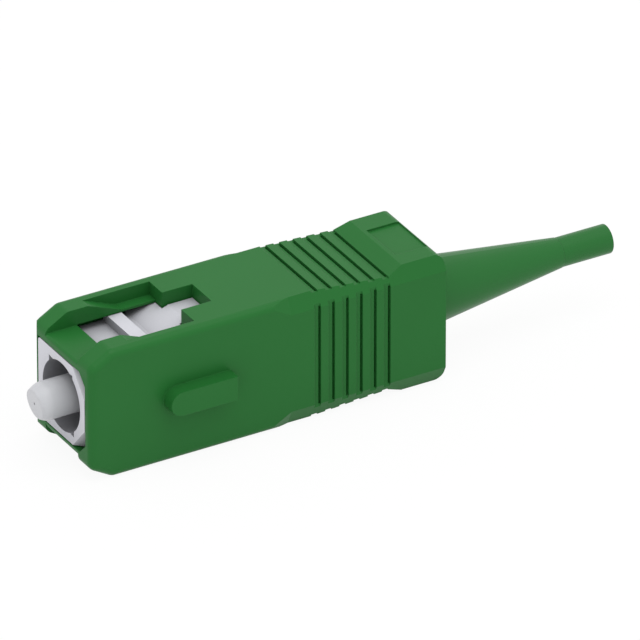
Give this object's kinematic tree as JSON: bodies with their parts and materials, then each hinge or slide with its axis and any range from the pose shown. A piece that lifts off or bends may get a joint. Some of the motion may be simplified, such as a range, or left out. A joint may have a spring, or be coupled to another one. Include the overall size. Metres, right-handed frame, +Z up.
{
  "type": "sc fibre connector",
  "caption": "SC fibre connector, angled polish, with a push-pull sleeve, a floating ferrule on a spring and a tapered boot for 0.9 mm buffered fibre",
  "frame": {"origin": "on the ferrule's axis, in the plane of the plug frame's and the sleeve's front faces", "axes": "+X runs back along the connector from the mating face to the boot, -Y is the side that carries the key, +Z is up; the connector lies on the sleeve's -Z face"},
  "size_m": [0.0413, 0.0084, 0.009],
  "materials": {
    "green_plastic": "moulded, fine matt",
    "white_plastic": "moulded, fine matt",
    "zirconia": "ground and polished ceramic",
    "flange_metal": "turned nickel plated",
    "tube_plastic": "drawn tube",
    "spring_steel": "drawn wire",
    "ring_metal": "turned nickel plated",
    "green_rubber": "moulded, satin"
  },
  "bodies": {
    "plug_body": {"plug_frame": "white_plastic", "stop_ring": "ring_metal", "boot": "green_rubber", "spring": "spring_steel"},
    "sleeve": {"outer_housing": "green_plastic"},
    "ferrule_set": {"ferrule": "zirconia", "ferrule_flange": "flange_metal", "guide_tube": "tube_plastic"}
  },
  "joints": [
    {"name": "sleeve_slide", "type": "slide", "parent": "plug_body", "child": "sleeve", "axis": [1, 0, 0], "range_m": [0, 0.002]},
    {"name": "ferrule_float", "type": "slide", "parent": "plug_body", "child": "ferrule_set", "axis": [1, 0, 0], "range_m": [0, 0.0015], "stiffness_N_per_m": 4000, "deforming": ["spring"]}
  ]
}
